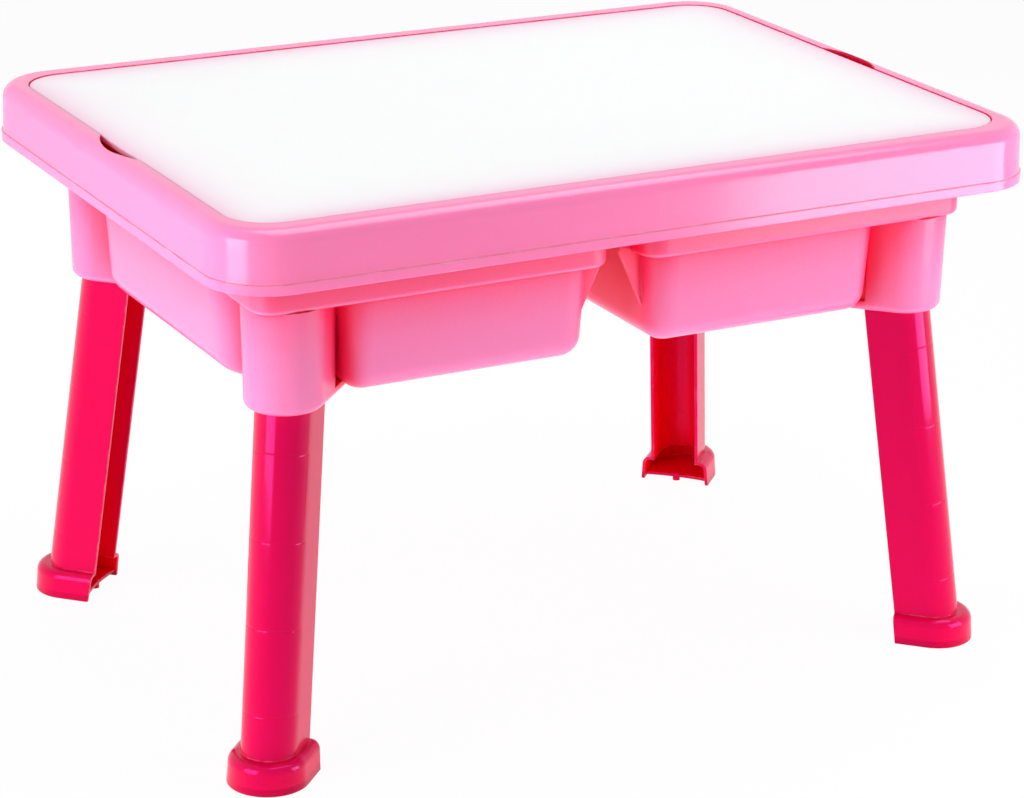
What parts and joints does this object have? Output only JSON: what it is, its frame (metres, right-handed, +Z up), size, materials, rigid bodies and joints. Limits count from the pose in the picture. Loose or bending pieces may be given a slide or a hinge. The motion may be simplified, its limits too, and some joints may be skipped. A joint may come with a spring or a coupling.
{
  "type": "play table",
  "caption": "Low children's play table: moulded tub with two deep basins under a flat lift-off board, on splayed plug-in channel legs.",
  "frame": {"origin": "on the floor under the middle of the table", "axes": "+Z up, X along the table's long side with +X to the right, -Y toward the front"},
  "size_m": [0.56, 0.41, 0.356],
  "materials": {
    "tub_plastic": "smooth semi-gloss light pink",
    "board_plastic": "smooth satin white",
    "leg_plastic": "smooth semi-gloss deep pink"
  },
  "bodies": {
    "tub": {"tub": "tub_plastic"},
    "board": {"board": "board_plastic"},
    "leg_front_left": {"leg_front_left": "leg_plastic"},
    "leg_front_right": {"leg_front_right": "leg_plastic"},
    "leg_back_left": {"leg_back_left": "leg_plastic"},
    "leg_back_right": {"leg_back_right": "leg_plastic"}
  },
  "joints": [
    {"name": "board_lift", "type": "slide", "parent": "tub", "child": "board", "axis": [0, 0, 1], "range_m": [0, 0.05]},
    {"name": "leg_front_left_plug", "type": "slide", "parent": "tub", "child": "leg_front_left", "axis": [-0.1033, -0.1033, -0.9893], "range_m": [0, 0.075]},
    {"name": "leg_front_right_plug", "type": "slide", "parent": "tub", "child": "leg_front_right", "axis": [0.1033, -0.1033, -0.9893], "range_m": [0, 0.075]},
    {"name": "leg_back_left_plug", "type": "slide", "parent": "tub", "child": "leg_back_left", "axis": [-0.1033, 0.1033, -0.9893], "range_m": [0, 0.075]},
    {"name": "leg_back_right_plug", "type": "slide", "parent": "tub", "child": "leg_back_right", "axis": [0.1033, 0.1033, -0.9893], "range_m": [0, 0.075]}
  ]
}
